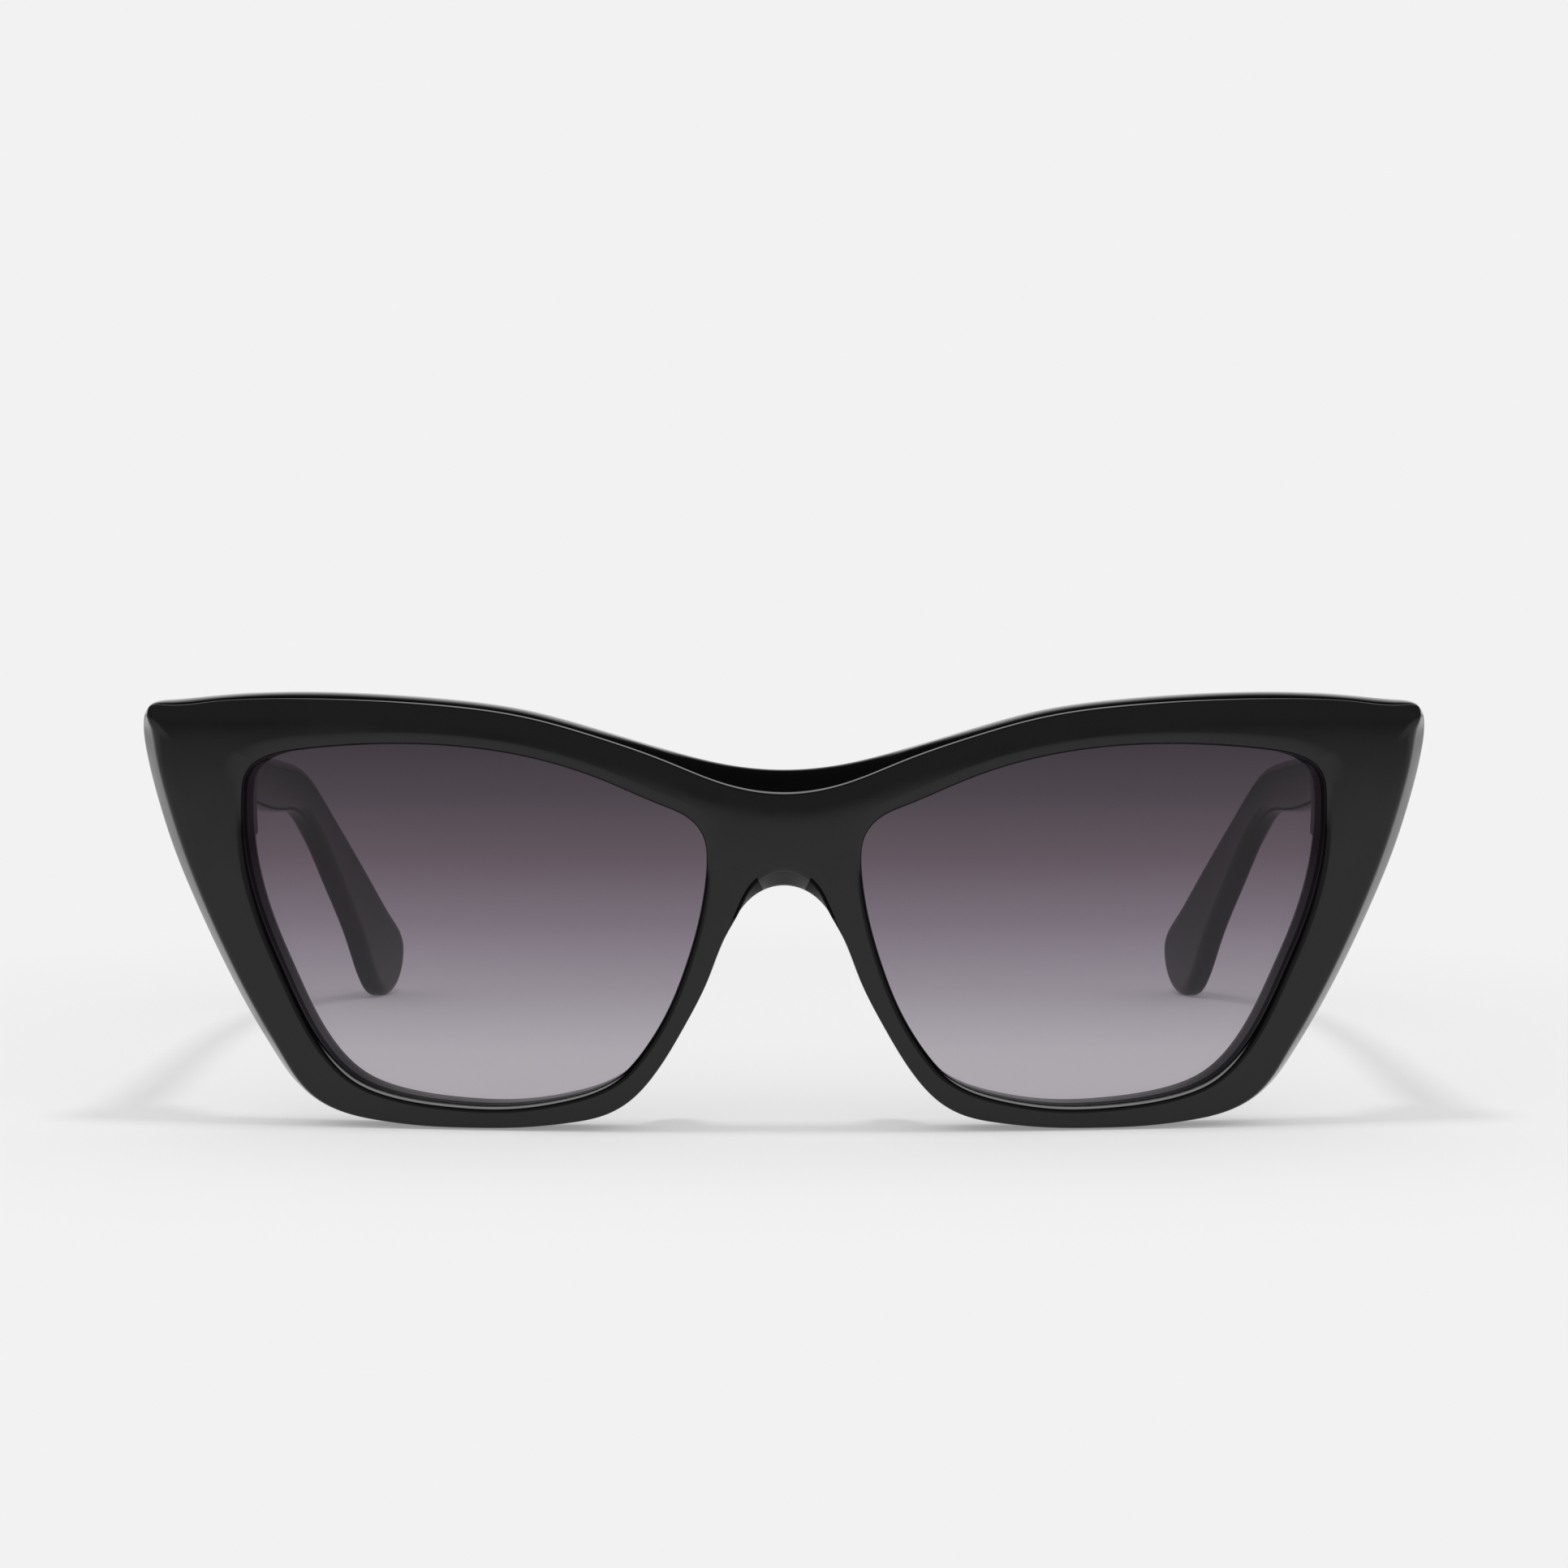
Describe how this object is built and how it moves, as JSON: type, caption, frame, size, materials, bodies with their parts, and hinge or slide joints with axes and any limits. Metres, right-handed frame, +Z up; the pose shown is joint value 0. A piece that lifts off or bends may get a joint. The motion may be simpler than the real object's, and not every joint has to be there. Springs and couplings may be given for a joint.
{
  "type": "cat eye sunglasses",
  "caption": "Cat-eye sunglasses with a flared acetate front, gradient tinted lenses and inward-folding temples on barrel hinges.",
  "frame": {"origin": "on the floor, at the middle of the bounding box of the glasses as they stand with both temples open", "axes": "+X to the wearer's left, -Y the way the front faces, +Z up"},
  "size_m": [0.146, 0.1422, 0.0488],
  "materials": {
    "acetate": "tumbled and hand polished black cellulose acetate",
    "tinted_lens": "nylon lens, grey-mauve gradient tint, dark at the top",
    "hinge_metal": "nickel silver, tumbled",
    "screw_steel": "stainless steel",
    "wire_metal": "nickel silver, rolled flat"
  },
  "bodies": {
    "front": {"front_frame": "acetate", "lens_left": "tinted_lens", "lens_right": "tinted_lens", "nose_pad_left": "acetate", "nose_pad_right": "acetate", "front_hinge_left": "hinge_metal", "front_hinge_right": "hinge_metal", "hinge_screw_left": "screw_steel", "hinge_screw_right": "screw_steel"},
    "temple_left": {"temple_left": "acetate", "temple_hinge_left": "hinge_metal", "core_wire_left": "wire_metal"},
    "temple_right": {"temple_right": "acetate", "temple_hinge_right": "hinge_metal", "core_wire_right": "wire_metal"}
  },
  "joints": [
    {"name": "fold_left", "type": "hinge", "parent": "front", "child": "temple_left", "pos_m": [0.0642, -0.05391, 0.0403], "axis": [0, 0, 1], "range_deg": [0, 87]},
    {"name": "fold_right", "type": "hinge", "parent": "front", "child": "temple_right", "pos_m": [-0.0642, -0.05391, 0.0403], "axis": [0, 0, -1], "range_deg": [0, 78]}
  ]
}
